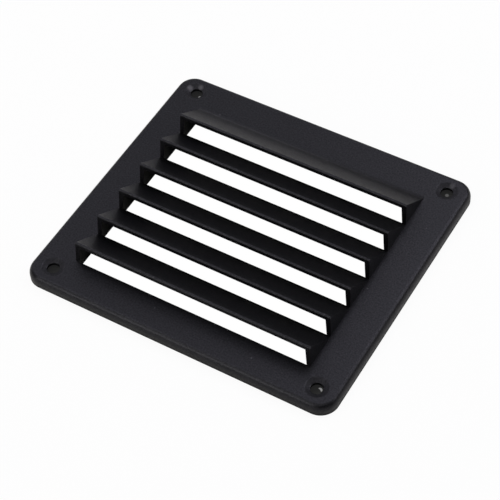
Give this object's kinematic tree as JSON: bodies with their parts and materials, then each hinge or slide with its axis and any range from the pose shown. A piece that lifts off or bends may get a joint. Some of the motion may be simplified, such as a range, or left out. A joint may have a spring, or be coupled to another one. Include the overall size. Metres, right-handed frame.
{
  "type": "louvred air vent",
  "caption": "Rectangular moulded louvre vent cover with a rounded rim, a bank of hooded air slots and countersunk screw holes in its corners.",
  "frame": {"origin": "centre of the back plane, where the rim lies on the wall", "axes": "+Z out of the face, X along the louvres, +Y towards the closed side of the hoods"},
  "size_m": [0.1276, 0.1156, 0.0143],
  "materials": {
    "moulding": "fine-grained satin black moulded plastic"
  },
  "bodies": {
    "root": {"louvre_vent": "moulding"}
  },
  "joints": []
}
